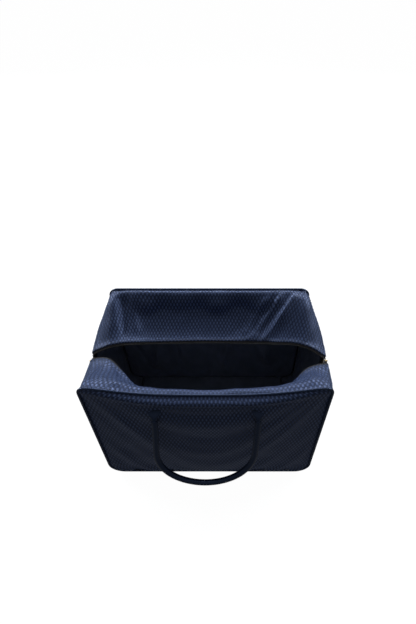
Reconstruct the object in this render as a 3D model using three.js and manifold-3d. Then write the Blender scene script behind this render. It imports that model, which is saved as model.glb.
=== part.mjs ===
// A soft travel holdall standing open, with both zip panels folded in and both handles hanging down.
// X runs across the bag, -Y is its front and +Z is up. The origin is at the bottom centre.
import * as THREE from 'three';
import { mergeVertices } from 'three/addons/utils/BufferGeometryUtils.js';
import Module from 'manifold-3d';

// Driving dimensions, millimetres
const WIDTH = 450;
const DEPTH = 270;
const HEIGHT = 320;
const BOTTOM_CORNER = 34;
const TOP_CORNER = 22;
// How square the top corners are: 2 is a round arc, and more is squarer
const FRONT_SQUARENESS = 3.4;
const REAR_SQUARENESS = 2;
const SIDE_BULGE = 22;
const BULGE_HEIGHT = 240;
const FRONT_SAG = 30;
const FRONT_LEAN = 7;
const SAG_HALF_WIDTH = 200;
const SAG_FOOT = 190;

// Layers of cloth, and the gap that keeps neighbouring solids apart
const SKIN = 1.6;
const LINING = 0.8;
const TAPE = 0.8;
const BOARD = 2;
const GAP = 0.3;
const PIPING_RADIUS = 2.3;

// The zip: its lower end and the notch where its two halves part are heights on the side of the bag
const ZIP_END = 200;
const NOTCH = 228;
const COIL_HALF = 1.4;
const COIL_SPACING = 1.8;
const TAPE_WIDTH = 14;
const TAPE_SHOWN = 5.5;
const COIL_START = 0.0165;

const HANDLE_HALF_SPAN = 96;
const HANDLE_LEG = 90;
const HANDLE_BOW = 85;
const HANDLE_RADIUS = 6.2;
const HANDLE_WALL = 1.5;
const HANDLE_LEAN = THREE.MathUtils.degToRad(15);
const HANDLE_PIVOT_Y = 143.5;
const HANDLE_PIVOT_Z = 240;
const TAB_GAP = 0.5;
const TAB_LOW = 230;
const TAB_HIGH = 266;
const TAB_HALF_WIDTHS = [6, 7, 14.5];

// Derived dimensions
const RIM_X = WIDTH / 2 - PIPING_RADIUS;
const RIM_Y = DEPTH / 2 - PIPING_RADIUS;
const RIM_LOW = PIPING_RADIUS + 0.1;
const RIM_HIGH = HEIGHT - PIPING_RADIUS;
const GUSSET_HALF_DEPTH = RIM_Y - PIPING_RADIUS - GAP;
const LINING_INSET = SKIN + GAP;
const BOARD_LOW = SKIN + GAP;
const BASE_LINING_LOW = BOARD_LOW + BOARD + GAP;
const FLAT_HALF = WIDTH / 2 - BOTTOM_CORNER;
const RIM_RISE = HEIGHT - TOP_CORNER - ZIP_END;
const RIM_ARC = (Math.PI / 2) * TOP_CORNER;
const RIM_HALF = RIM_RISE + RIM_ARC + WIDTH / 2 - TOP_CORNER;

const fabric = new THREE.MeshStandardMaterial({ color: 0x1d2740, roughness: 0.8, metalness: 0 });
const lining = new THREE.MeshStandardMaterial({ color: 0x0a0c12, roughness: 0.7, metalness: 0 });
const leather = new THREE.MeshStandardMaterial({ color: 0x10131c, roughness: 0.5, metalness: 0 });
const zipCloth = new THREE.MeshStandardMaterial({ color: 0x0d1018, roughness: 0.9, metalness: 0 });
const brass = new THREE.MeshStandardMaterial({ color: 0xc09a4e, roughness: 0.3, metalness: 1 });
const stiffener = new THREE.MeshStandardMaterial({ color: 0x202020, roughness: 0.9, metalness: 0 });
const cord = new THREE.MeshStandardMaterial({ color: 0x8a8578, roughness: 0.95, metalness: 0 });

const wasm = await Module();
wasm.setup();
const bag = new THREE.Group();

function place(name, geometry, material, parent = bag) {
  const mesh = new THREE.Mesh(geometry, material);
  mesh.name = name;
  parent.add(mesh);
  return mesh;
}

function smooth(value) {
  return THREE.MathUtils.smoothstep(value, 0, 1);
}

function evenly(from, to, steps) {
  return Array.from({ length: steps + 1 }, (_, i) => THREE.MathUtils.lerp(from, to, i / steps));
}

// A point of a surface, moved inwards by inset along the surface's own normal
function insetPoint(surface, u, v, inset, outward) {
  const step = 0.001;
  const across = surface(u + step, v).sub(surface(u - step, v));
  const along = surface(u, v + step).sub(surface(u, v - step));
  const normal = across.cross(along).normalize().multiplyScalar(outward);
  return surface(u, v).addScaledVector(normal, -inset);
}

// A closed sheet over a grid of the surface's u and v. Its outer face lies inset below the surface.
// outward is 1 where the surface's u cross v points out of the bag, else -1. A v may be a function of u.
function sheet(surface, us, vs, inset, thickness, outward) {
  const positions = [];
  const triangles = [];
  const layerLength = us.length * vs.length;
  for (const depth of [inset, inset + thickness]) {
    for (const u of us) {
      for (const row of vs) {
        const v = typeof row === 'function' ? row(u) : row;
        positions.push(...insetPoint(surface, u, v, depth, outward).toArray());
      }
    }
  }
  const quad = (a, b, c, d) => triangles.push(...(outward > 0 ? [a, b, c, a, c, d] : [a, c, b, a, d, c]));
  const outer = (i, j) => i * vs.length + j;
  const inner = (i, j) => layerLength + outer(i, j);
  const lastU = us.length - 1;
  const lastV = vs.length - 1;
  for (let i = 0; i < lastU; i += 1) {
    for (let j = 0; j < lastV; j += 1) {
      quad(outer(i, j), outer(i + 1, j), outer(i + 1, j + 1), outer(i, j + 1));
      quad(inner(i, j), inner(i, j + 1), inner(i + 1, j + 1), inner(i + 1, j));
    }
    quad(outer(i, 0), inner(i, 0), inner(i + 1, 0), outer(i + 1, 0));
    quad(outer(i, lastV), outer(i + 1, lastV), inner(i + 1, lastV), inner(i, lastV));
  }
  for (let j = 0; j < lastV; j += 1) {
    quad(outer(0, j), outer(0, j + 1), inner(0, j + 1), inner(0, j));
    quad(outer(lastU, j), inner(lastU, j), inner(lastU, j + 1), outer(lastU, j + 1));
  }
  const geometry = new THREE.BufferGeometry();
  geometry.setAttribute('position', new THREE.Float32BufferAttribute(positions, 3));
  geometry.setIndex(triangles);
  return geometry;
}

function ring(radius, sides) {
  return Array.from({ length: sides }, (_, i) => {
    const angle = (i / sides) * 2 * Math.PI;
    return new THREE.Vector2(radius * Math.cos(angle), radius * Math.sin(angle));
  });
}

// A round rod through a list of points that stays clear of the direction named as its side
function rod(points, radius, sides, sideways) {
  const positions = [];
  const triangles = [];
  const last = points.length - 1;
  points.forEach((point, i) => {
    const tangent = points[Math.min(i + 1, last)].clone().sub(points[Math.max(i - 1, 0)]).normalize();
    const first = sideways.clone().addScaledVector(tangent, -sideways.dot(tangent)).normalize();
    const second = tangent.clone().cross(first);
    for (const { x, y } of ring(radius, sides)) {
      positions.push(...point.clone().addScaledVector(first, x).addScaledVector(second, y).toArray());
    }
  });
  for (let i = 0; i < last; i += 1) {
    for (let j = 0; j < sides; j += 1) {
      const a = i * sides + j;
      const b = i * sides + ((j + 1) % sides);
      triangles.push(a, b, b + sides, a, b + sides, a + sides);
    }
  }
  for (let j = 1; j < sides - 1; j += 1) {
    triangles.push(0, j + 1, j);
    triangles.push(last * sides, last * sides + j, last * sides + j + 1);
  }
  const geometry = new THREE.BufferGeometry();
  geometry.setAttribute('position', new THREE.Float32BufferAttribute(positions, 3));
  geometry.setIndex(triangles);
  return geometry;
}

function tube(path, radius, sides, steps, bore = 0) {
  const section = new THREE.Shape(ring(radius, sides));
  if (bore > 0) section.holes.push(new THREE.Path(ring(bore, sides)));
  return new THREE.ExtrudeGeometry(section, { steps, extrudePath: path });
}

function box(halfX, halfY, low, high) {
  return new THREE.BoxGeometry(2 * halfX, 2 * halfY, high - low).translate(0, 0, (low + high) / 2);
}

function toSolid(geometry) {
  const bare = geometry.clone();
  bare.deleteAttribute('normal');
  bare.deleteAttribute('uv');
  const merged = mergeVertices(bare, 1e-4);
  const mesh = new wasm.Mesh({
    numProp: 3,
    vertProperties: merged.attributes.position.array,
    triVerts: new Uint32Array(merged.index.array),
  });
  return new wasm.Manifold(mesh);
}

// Several overlapping geometries joined into one body
function joined(geometries) {
  const body = geometries.map(toSolid).reduce((sum, next) => sum.add(next)).getMesh();
  const geometry = new THREE.BufferGeometry();
  geometry.setAttribute('position', new THREE.BufferAttribute(body.vertProperties, 3));
  geometry.setIndex(new THREE.BufferAttribute(body.triVerts, 1));
  return geometry;
}

// The open mouth lets the upper edge of the front panel sag and lean in between its corners.
function settled(x, y, z) {
  const acrossWidth = Math.max(0, 1 - Math.abs(x / SAG_HALF_WIDTH) ** 3) ** 1.2;
  const sag = y < 0 ? acrossWidth * smooth((z - SAG_FOOT) / (HEIGHT - SAG_FOOT)) : 0;
  return new THREE.Vector3(x, y + FRONT_LEAN * sag, z - FRONT_SAG * sag);
}

function squareness(side) {
  return side < 0 ? FRONT_SQUARENESS : REAR_SQUARENESS;
}

// A point of a top corner's curve, 0 at its foot on the side of the bag and 1 where it meets the top
function cornerPoint(fraction, radius, side) {
  const angle = (fraction * Math.PI) / 2;
  const power = 2 / squareness(side);
  return { inwards: radius * (1 - Math.cos(angle) ** power), up: radius * Math.sin(angle) ** power };
}

// The line of the piping around one panel: a single length whose two ends meet at the middle of the bottom
function pipingLine(side) {
  const bottomRadius = BOTTOM_CORNER - RIM_LOW;
  const topRadius = TOP_CORNER - PIPING_RADIUS;
  const topX = WIDTH / 2 - TOP_CORNER;
  const topZ = HEIGHT - TOP_CORNER;
  const corner = evenly(0, 1, 6).map((fraction) => cornerPoint(fraction, topRadius, side));
  const outline = new THREE.Path();
  outline.moveTo(-GAP, RIM_LOW);
  outline.lineTo(-FLAT_HALF, RIM_LOW);
  outline.absarc(-FLAT_HALF, BOTTOM_CORNER, bottomRadius, -Math.PI / 2, -Math.PI, true);
  for (const { inwards, up } of corner) outline.lineTo(-RIM_X + inwards, topZ + up);
  for (const x of evenly(-topX, topX, 16).slice(1)) outline.lineTo(x, RIM_HIGH);
  for (const { inwards, up } of corner.reverse().slice(1)) outline.lineTo(RIM_X - inwards, topZ + up);
  outline.lineTo(RIM_X, BOTTOM_CORNER);
  outline.absarc(FLAT_HALF, BOTTOM_CORNER, bottomRadius, 0, -Math.PI / 2, true);
  outline.lineTo(GAP, RIM_LOW);
  return outline.getPoints(3).map((point) => settled(point.x, side * RIM_Y, point.y));
}

// Half the width of the rounded panel outline at one height, drawn in from the piping line by inset
function halfWidthAt(z, inset, side) {
  const low = RIM_LOW + inset;
  const high = RIM_HIGH - inset;
  const lowRadius = BOTTOM_CORNER - low;
  const highRadius = TOP_CORNER - PIPING_RADIUS - inset;
  const intoLowArc = Math.min(lowRadius, Math.max(0, low + lowRadius - z));
  const intoHighArc = Math.min(highRadius, Math.max(0, z - high + highRadius));
  const lowCut = lowRadius - Math.sqrt(lowRadius ** 2 - intoLowArc ** 2);
  const power = squareness(side);
  const highCut = highRadius - (highRadius ** power - intoHighArc ** power) ** (1 / power);
  return RIM_X - inset - lowCut - highCut;
}

// The face of the front (side -1) or rear (side 1) panel. v runs up it.
function panelFace(side, inset, face) {
  return (u, v) => {
    const z = THREE.MathUtils.lerp(RIM_LOW + inset, RIM_HIGH - inset, v);
    return settled((2 * u - 1) * halfWidthAt(z, inset, side), side * face, z);
  };
}

function makePanels() {
  const edge = PIPING_RADIUS + 3 * GAP;
  const us = evenly(0, 1, 8);
  const vs = evenly(0, 1, 12).map((step) => 0.5 - 0.5 * Math.cos(Math.PI * step));
  for (const [name, side] of [['front', -1], ['rear', 1]]) {
    const outer = panelFace(side, edge, RIM_Y + SKIN / 2);
    const inner = panelFace(side, edge + 1, RIM_Y - SKIN / 2 - GAP);
    place(`${name}_panel`, sheet(outer, us, vs, 0, SKIN, -side), fabric);
    place(`${name}_lining`, sheet(inner, us, vs, 0, LINING, -side), lining);
    place(`${name}_piping`, rod(pipingLine(side), PIPING_RADIUS, 6, new THREE.Vector3(0, 1, 0)), leather);
  }
}

function bulgeAt(z) {
  return SIDE_BULGE * smooth(z / BULGE_HEIGHT);
}

// The outer face of one side, from its seam with the base, around the bottom corner and up to the zip's end.
// u runs from the front to the rear and v runs up.
function sideFace(side, halfDepth) {
  const arc = (Math.PI / 2) * BOTTOM_CORNER;
  const length = arc + ZIP_END - BOTTOM_CORNER;
  return (u, v) => {
    const angle = Math.min((v * length) / BOTTOM_CORNER, Math.PI / 2);
    const z = BOTTOM_CORNER * (1 - Math.cos(angle)) + Math.max(0, v * length - arc);
    const y = THREE.MathUtils.lerp(-halfDepth, halfDepth, u);
    const bulge = bulgeAt(z) * (1 - (y / RIM_Y) ** 2);
    return new THREE.Vector3(side * (FLAT_HALF + BOTTOM_CORNER * Math.sin(angle) + bulge), y, z);
  };
}

function makeSidesAndBase() {
  const us = evenly(0, 1, 6);
  const vs = [...evenly(0, 0.24, 4), ...evenly(0.4, 0.999, 4)];
  for (const [name, side] of [['left', -1], ['right', 1]]) {
    const outer = sideFace(side, GUSSET_HALF_DEPTH);
    const inner = sideFace(side, GUSSET_HALF_DEPTH - GAP);
    place(`${name}_side`, sheet(outer, us, vs, 0, SKIN, side), fabric);
    place(`${name}_side_lining`, sheet(inner, us, vs, LINING_INSET, LINING, side), lining);
  }
  const boardHalf = FLAT_HALF - 5;
  const liningTop = BASE_LINING_LOW + LINING;
  place('base', box(FLAT_HALF - GAP, GUSSET_HALF_DEPTH, 0, SKIN), fabric);
  place('base_board', box(boardHalf, GUSSET_HALF_DEPTH - 2, BOARD_LOW, BOARD_LOW + BOARD), stiffener);
  place('base_lining', box(boardHalf, GUSSET_HALF_DEPTH - 1, BASE_LINING_LOW, liningTop), lining);
}

// Stations of a zip panel from its end at the left side to its middle. rim is the distance along the rim from
// the zip's end, edge is the point on the zip line, and leave and arrive are the control vectors of the curve
// across. On the side of the bag, parting opens the zip and drawnIn pulls its line inwards.
function sideStation(height, side, parting = 0, drawnIn = 0) {
  const bulge = bulgeAt(height);
  return {
    rim: height - ZIP_END,
    edge: [drawnIn - WIDTH / 2 - bulge, side * (COIL_SPACING + parting), height],
    leave: [(-2 / 3) * bulge, -side * 44, 0],
    arrive: [0, side * 44, 0],
  };
}

const FRONT_STATIONS = [
  sideStation(ZIP_END, -1),
  sideStation(NOTCH, -1),
  sideStation(NOTCH + 12, -1, 2.6, 1),
  { rim: 64, edge: [-238, -9, 252], leave: [-24, 44, 3], arrive: [-8, -42, 6] },
  { rim: 98, edge: [-202, -17, 262], leave: [-13, 44, 6], arrive: [-10, -38, 14] },
  { rim: 136, edge: [-171, -41, 253], leave: [-5, 44, 7], arrive: [-6, -30, 24] },
  { rim: 178, edge: [-146, -66, 228], leave: [-1, 42, 12], arrive: [0, -18, 38] },
  { rim: 230, edge: [-105, -88, 204], leave: [0, 38, 14], arrive: [0, -7, 44] },
  { rim: RIM_HALF, edge: [0, -98, 190], leave: [0, 34, 15], arrive: [0, -2, 48] },
];

const REAR_STATIONS = [
  sideStation(ZIP_END, 1),
  sideStation(NOTCH, 1),
  sideStation(NOTCH + 12, 1, 2.6, 1),
  { rim: 64, edge: [-240, 1, 252], leave: [-22, -44, 4], arrive: [-8, 44, 6] },
  { rim: 98, edge: [-207, 6, 266], leave: [-14, -44, 8], arrive: [-8, 44, 10] },
  { rim: 136, edge: [-174, 12, 269], leave: [-6, -44, 9], arrive: [-3, 46, 12] },
  { rim: 178, edge: [-139, 18, 265], leave: [0, -46, 7], arrive: [0, 50, 14] },
  { rim: 230, edge: [-105, 23, 261], leave: [0, -48, 3], arrive: [0, 52, 16] },
  { rim: RIM_HALF, edge: [0, 27, 259], leave: [0, -50, 1], arrive: [0, 54, 17] },
];

function mirroredCurve(stations, key) {
  const left = stations.map((station) => new THREE.Vector3(...station[key]));
  const right = left.slice(0, -1).reverse().map((point) => new THREE.Vector3(-point.x, point.y, point.z));
  return new THREE.CatmullRomCurve3([...left, ...right], false, 'catmullrom', 0.5);
}

// The upper part of the rim, by distance from the zip's left end over the top to its right end
function upperRim(distance, side) {
  const radius = TOP_CORNER - PIPING_RADIUS;
  const left = Math.min(distance, 2 * RIM_HALF - distance);
  const mirror = distance > RIM_HALF ? -1 : 1;
  const corner = cornerPoint(THREE.MathUtils.clamp((left - RIM_RISE) / RIM_ARC, 0, 1), radius, side);
  const x = -RIM_X + corner.inwards + Math.max(0, left - RIM_RISE - RIM_ARC);
  const z = ZIP_END + Math.min(left, RIM_RISE) + corner.up;
  return settled(mirror * x, side * RIM_Y, z);
}

// A zip panel from the rim (across 0) to the zip line (across 1), and from left (along 0) to right
class ZipPanel {
  constructor(stations, side) {
    const rims = stations.map((station) => station.rim);
    const middle = rims[rims.length - 1];
    const farRims = rims.slice(0, -1).reverse().map((rim) => 2 * middle - rim);
    const distances = [...rims, ...farRims].map((rim) => new THREE.Vector3(rim, 0, 0));
    this.distances = new THREE.CatmullRomCurve3(distances, false, 'catmullrom', 0.5);
    this.edges = mirroredCurve(stations, 'edge');
    this.leaves = mirroredCurve(stations, 'leave');
    this.arrives = mirroredCurve(stations, 'arrive');
    this.side = side;
    this.surface = (along, across) => this.point(along, across);
  }

  point(along, across) {
    const station = THREE.MathUtils.clamp(along, 0, 1);
    const start = upperRim(this.distances.getPoint(station).x, this.side);
    const end = this.edges.getPoint(station);
    const first = this.leaves.getPoint(station).add(start);
    const second = this.arrives.getPoint(station).add(end);
    return new THREE.CubicBezierCurve3(start, first, second, end).getPoint(across);
  }

  // The row that runs at a distance short of the zip line
  before(distance) {
    return (along) => {
      const span = this.point(along, 1).distanceTo(this.point(along, 0.95));
      return 1 - (0.05 * distance) / span;
    };
  }

  // Cover, lining, tape and coil between two fractions along, from one row across to the zip line
  makeStrip(name, from, to, steps, rows) {
    const us = evenly(from, to, steps);
    const coilUs = evenly(Math.max(from, COIL_START), Math.min(to, 1 - COIL_START), steps);
    const shown = this.before(TAPE_SHOWN);
    const seam = this.before(TAPE_WIDTH);
    const tapeRows = [this.before(TAPE_WIDTH - GAP), shown, this.before(COIL_HALF + 2 * GAP)];
    const coilRows = [this.before(COIL_HALF), this.before(-COIL_HALF)];
    const coilInset = LINING_INSET + TAPE / 2 - COIL_HALF;
    const out = -this.side;
    const cover = sheet(this.surface, us, [...rows, seam, shown], 0, SKIN, out);
    place(name, cover, fabric);
    place(`${name}_lining`, sheet(this.surface, us, [...rows, seam], LINING_INSET, LINING, out), lining);
    place(`${name}_zip_tape`, sheet(this.surface, us, tapeRows, LINING_INSET, TAPE, out), zipCloth);
    place(`${name}_zip_coil`, sheet(this.surface, coilUs, coilRows, coilInset, 2 * COIL_HALF, out), zipCloth);
  }
}

const RIM_START = 0.03;
const SEAM = 0.0002;
const END = 0.0006;

// The front zip panel: two corners that flex, the fold along the front edge, and the flap that hangs inside
function makeFrontZipPanel() {
  const panel = new ZipPanel(FRONT_STATIONS, -1);
  const cut = 0.42;
  const fold = 0.27;
  const foldRows = [RIM_START, 0.11, 0.19];
  const flapRows = [0.42, 0.7];
  const us = evenly(cut + SEAM, 1 - cut - SEAM, 8);
  const hem = [...foldRows, fold - 0.003];
  panel.makeStrip('front_left_corner', END, cut - SEAM, 11, [...foldRows, fold, ...flapRows]);
  panel.makeStrip('front_right_corner', 1 - cut + SEAM, 1 - END, 11, [...foldRows, fold, ...flapRows]);
  panel.makeStrip('front_flap', cut + SEAM, 1 - cut - SEAM, 8, [fold + 0.003, ...flapRows]);
  place('front_fold', sheet(panel.surface, us, hem, 0, SKIN, 1), fabric);
  place('front_fold_lining', sheet(panel.surface, us, hem, LINING_INSET, LINING, 1), lining);
}

// The rear zip panel: two corners that flex, and the flap that swings on the seam of the rear piping
function makeRearZipPanel() {
  const panel = new ZipPanel(REAR_STATIONS, 1);
  const cut = 0.375;
  const rows = [RIM_START, 0.13, 0.27, 0.48, 0.74];
  panel.makeStrip('rear_left_corner', END, cut - SEAM, 11, rows);
  panel.makeStrip('rear_right_corner', 1 - cut + SEAM, 1 - END, 11, rows);
  panel.makeStrip('rear_flap', cut + SEAM, 1 - cut - SEAM, 8, rows);
}

// The slider's own frame has +X out of the bag, and its origin on the line where the two coils meet.
const SLIDER_X = WIDTH / 2 + SIDE_BULGE - LINING_INSET - TAPE / 2;
const SLIDER_Z = 229;
const PLATE_REACH = 2.1;
const PLATE_TOP = PLATE_REACH + 1.2;
const PULL_PIVOT = new THREE.Vector3(4.8, 0, 1.2);

// An outline in the slider's Y and Z, given a thickness along X
function facingOut(outline, fromX, thickness) {
  const shape = new THREE.Shape(outline.map(([y, z]) => new THREE.Vector2(-z, y)));
  return new THREE.ExtrudeGeometry(shape, { depth: thickness, bevelEnabled: false })
    .rotateY(Math.PI / 2).translate(fromX, 0, 0);
}

// An outline in the slider's X and Z, given a width along Y
function sideOn(outline, width) {
  const shape = new THREE.Shape(outline.map(([x, z]) => new THREE.Vector2(x, z)));
  return new THREE.ExtrudeGeometry(shape, { depth: width, bevelEnabled: false })
    .rotateX(Math.PI / 2).translate(0, width / 2, 0);
}

function sliderBody() {
  const plate = [[-3, -6], [3, -6], [4.5, 0], [4, 4.5], [-4, 4.5], [-4.5, 0]];
  const post = [[-0.7, 2.7], [0.7, 2.7], [0.7, 4.4], [-0.7, 4.4]];
  const foot = PLATE_TOP - 0.2;
  const reach = PLATE_TOP + 3;
  const bridge = [
    [foot, -5], [reach + 1, -4.2], [reach + 1, 3.8], [foot, 4.4],
    [foot, 3], [reach, 2.7], [reach, -3], [foot, -3.7],
  ];
  return joined([
    facingOut(plate, PLATE_REACH, PLATE_TOP - PLATE_REACH),
    facingOut(plate, -PLATE_TOP, PLATE_TOP - PLATE_REACH),
    facingOut(post, -PLATE_REACH - 0.2, 2 * PLATE_REACH + 0.4),
    sideOn(bridge, 2),
  ]);
}

// The pull hangs from its cross bar, which lies under the slider's bridge. It is drawn about that bar.
function pullBody() {
  const thickness = 1.4;
  const shape = new THREE.Shape();
  shape.moveTo(-0.7, -3.2);
  shape.lineTo(11, -3.2);
  shape.lineTo(24, -3.7);
  shape.absarc(24, 0, 3.7, -Math.PI / 2, Math.PI / 2, false);
  shape.lineTo(11, 3.2);
  shape.lineTo(-0.7, 3.2);
  const window = new THREE.Path();
  window.moveTo(0.7, -1.9);
  window.lineTo(9, -1.9);
  window.lineTo(9, 1.9);
  window.lineTo(0.7, 1.9);
  shape.holes.push(window);
  const eye = new THREE.Path();
  eye.absarc(24, 0, 1.5, 0, 2 * Math.PI, true);
  shape.holes.push(eye);
  return new THREE.ExtrudeGeometry(shape, { depth: thickness, bevelEnabled: false, curveSegments: 8 })
    .rotateY(Math.PI / 2).translate(-thickness / 2, 0, 0);
}

function makeZipEnd(name, side) {
  const holder = new THREE.Group();
  holder.position.set(side * SLIDER_X, 0, SLIDER_Z);
  if (side < 0) holder.rotation.z = Math.PI;
  bag.add(holder);
  place(`${name}_slider`, sliderBody(), brass, holder);
  const pull = place(`${name}_pull`, pullBody(), brass, holder);
  pull.position.copy(PULL_PIVOT);
  const stop = place(`${name}_zip_stop`, box(1.8, 3, 0, 4), brass);
  stop.position.set(side * (WIDTH / 2 + bulgeAt(ZIP_END) - LINING_INSET - TAPE / 2), 0, ZIP_END + 1);
}

// A handle in its own plane: two straight legs down from the pivot at the origin, joined by a half ellipse
class HandleLine extends THREE.Curve {
  getPoint(fraction) {
    const bow = Math.PI * Math.sqrt((HANDLE_HALF_SPAN ** 2 + HANDLE_BOW ** 2) / 2);
    const distance = fraction * (2 * HANDLE_LEG + bow);
    if (distance < HANDLE_LEG) return new THREE.Vector3(-HANDLE_HALF_SPAN, 0, -distance);
    if (distance > HANDLE_LEG + bow) {
      return new THREE.Vector3(HANDLE_HALF_SPAN, 0, distance - bow - 2 * HANDLE_LEG);
    }
    const angle = ((distance - HANDLE_LEG) / bow) * Math.PI;
    const x = -HANDLE_HALF_SPAN * Math.cos(angle);
    return new THREE.Vector3(x, 0, -HANDLE_LEG - HANDLE_BOW * Math.sin(angle));
  }
}

// One sewn tab of a handle, narrow at its foot and wide at its top, lying on the face of its panel
function tabBody(side, x) {
  const face = (u, v) => {
    const widths = TAB_HALF_WIDTHS;
    const half = v < 0.4
      ? THREE.MathUtils.lerp(widths[0], widths[1], v / 0.4)
      : THREE.MathUtils.lerp(widths[1], widths[2], (v - 0.4) / 0.6);
    const z = THREE.MathUtils.lerp(TAB_LOW, TAB_HIGH, v);
    return settled(x + (2 * u - 1) * half, side * (RIM_Y + SKIN / 2), z);
  };
  const panelY = Math.abs(settled(x, side * (RIM_Y + SKIN / 2), HANDLE_PIVOT_Z).y);
  const thickness = HANDLE_PIVOT_Y - HANDLE_RADIUS - GAP - panelY - TAB_GAP;
  return sheet(face, [0.01, 0.5, 0.99], [0.01, 0.4, 0.99], -TAB_GAP - thickness, thickness, -side);
}

function makeHandle(name, side) {
  const holder = new THREE.Group();
  holder.position.set(0, side * HANDLE_PIVOT_Y, HANDLE_PIVOT_Z);
  holder.rotation.x = side * HANDLE_LEAN;
  bag.add(holder);
  const line = new HandleLine();
  const bore = HANDLE_RADIUS - HANDLE_WALL;
  place(`${name}_handle`, tube(line, HANDLE_RADIUS, 8, 22, bore), leather, holder);
  place(`${name}_handle_core`, tube(line, bore - GAP, 8, 22), cord, holder);
  for (const [end, x] of [['left', -HANDLE_HALF_SPAN], ['right', HANDLE_HALF_SPAN]]) {
    place(`${name}_handle_${end}_tab`, tabBody(side, x), leather);
  }
}

makePanels();
makeSidesAndBase();
makeFrontZipPanel();
makeRearZipPanel();
makeZipEnd('left', -1);
makeZipEnd('right', 1);
makeHandle('front', -1);
makeHandle('rear', 1);

export default bag;
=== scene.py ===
import math
from functools import partial

import bpy
import numpy as np
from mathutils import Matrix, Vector


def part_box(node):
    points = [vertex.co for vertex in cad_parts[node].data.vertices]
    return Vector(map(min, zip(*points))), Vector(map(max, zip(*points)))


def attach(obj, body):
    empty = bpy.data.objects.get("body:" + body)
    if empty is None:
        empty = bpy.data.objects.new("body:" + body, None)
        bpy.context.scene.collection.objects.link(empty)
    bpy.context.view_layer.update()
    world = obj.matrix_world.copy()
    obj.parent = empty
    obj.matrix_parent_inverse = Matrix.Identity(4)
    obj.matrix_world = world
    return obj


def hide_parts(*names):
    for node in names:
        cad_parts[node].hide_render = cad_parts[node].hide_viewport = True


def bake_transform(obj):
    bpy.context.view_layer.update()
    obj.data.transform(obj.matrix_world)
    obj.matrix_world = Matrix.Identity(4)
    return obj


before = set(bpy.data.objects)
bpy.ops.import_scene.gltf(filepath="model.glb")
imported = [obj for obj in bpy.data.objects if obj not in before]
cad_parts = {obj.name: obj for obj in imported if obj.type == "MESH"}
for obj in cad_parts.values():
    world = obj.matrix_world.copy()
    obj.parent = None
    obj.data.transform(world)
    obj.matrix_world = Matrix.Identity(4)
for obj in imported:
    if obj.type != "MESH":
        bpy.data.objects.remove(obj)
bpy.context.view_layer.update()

MM = 0.001

# ---------------- sizes read from the frame, metres
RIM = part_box("rear_piping")
PIPING_RADIUS = (RIM[1].y - RIM[0].y) / 2
RIM_X = RIM[1].x - PIPING_RADIUS
RIM_Y = RIM[1].y - PIPING_RADIUS
RIM_LOW = RIM[0].z + PIPING_RADIUS
RIM_HIGH = RIM[1].z - PIPING_RADIUS
HALF_WIDTH = RIM_X + PIPING_RADIUS
HEIGHT = RIM_HIGH + PIPING_RADIUS
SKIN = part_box("base")[1].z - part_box("base")[0].z
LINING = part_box("base_lining")[1].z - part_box("base_lining")[0].z
BASE_LINING_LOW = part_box("base_lining")[0].z

# ---------------- shape of the bag, as its CAD has it
BOTTOM_CORNER = 34 * MM
TOP_CORNER = 22 * MM
FRONT_SQUARENESS = 3.4
REAR_SQUARENESS = 2.0
SIDE_BULGE = 22 * MM
BULGE_HEIGHT = 240 * MM
FRONT_SAG = 30 * MM
FRONT_LEAN = 7 * MM
SAG_HALF_WIDTH = 200 * MM
SAG_FOOT = 190 * MM
ZIP_END = 200 * MM
NOTCH = 228 * MM
COIL_SPACING = 1.8 * MM
COIL_START = 0.0165
TAPE = 0.8 * MM
TAPE_WIDTH = 14 * MM
TAPE_SHOWN = 5.5 * MM
LINING_INSET = SKIN + 0.3 * MM
FLAT_HALF = HALF_WIDTH - BOTTOM_CORNER
RIM_RISE = HEIGHT - TOP_CORNER - ZIP_END
RIM_ARC = math.pi / 2 * TOP_CORNER
RIM_HALF = RIM_RISE + RIM_ARC + HALF_WIDTH - TOP_CORNER

# ---------------- handles, as their CAD has them, with taller tabs
HANDLE_HALF_SPAN = 96 * MM
HANDLE_LEG = 90 * MM
HANDLE_BOW = 85 * MM
HANDLE_RADIUS = 6.2 * MM
HANDLE_LEAN = math.radians(15)
HANDLE_PIVOT_Y = 143.5 * MM
HANDLE_PIVOT_Z = 240 * MM
TAB_HIGH = 272 * MM
TAB_HALF_WIDTH = 14.5 * MM
TAB_THICKNESS = 1.5 * MM
HANDLE_ASKEW = 6 * MM

# ---------------- sheets: depth across, grid, crown and slack
ZIP_CLOTH_ROWS = 30
ZIP_TAPE_ROWS = 11
ZIP_CLOTH_STEP = 4.5 * MM
ZIP_MARGIN = 0.0006
COVER_START = 0.006
LINING_START = 0.03
CLOTH_STEP = 5 * MM
BASE_STEP = 6 * MM
PANEL_CROWN = 3.5 * MM
LINING_CROWN = 3 * MM
FRONT_ROLL = 16 * MM
REAR_ROLL = 2 * MM
SEAM_DIP = 2.4 * MM
PANEL_ROWS_HELD = 9
SEAM_GROWTH = 0.006
ZIP_PANEL_GROWTH = 0.010

# ---------------- cloth simulation
CLOTH_FRAMES = 22
CLOTH_GRAVITY = 0.4
CLOTH_STIFFNESS = 6.0
CLOTH_BENDING = 0.5
CLOTH_MASS = 0.12

# ---------------- stitches, and the weave of the cover
STITCH_LENGTH = 2.6 * MM
STITCH_RADIUS = 0.36 * MM
WEAVE_WIDTH = 7.4 * MM
WEAVE_HEIGHT = 15 * MM
RIB = 0.9 * MM


# ================ shapes
def smooth(value, low=0.0, high=1.0):
    """0 below low, 1 above high and a smooth step between them."""
    t = np.clip((value - low) / (high - low), 0, 1)
    return t * t * (3 - 2 * t)


def lerp(a, b, t):
    return a + (b - a) * t


def stack(x, y, z):
    return np.stack(np.broadcast_arrays(x, y, z), axis=-1).astype(float)


def unit(vectors):
    return vectors / np.linalg.norm(vectors, axis=-1, keepdims=True)


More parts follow.
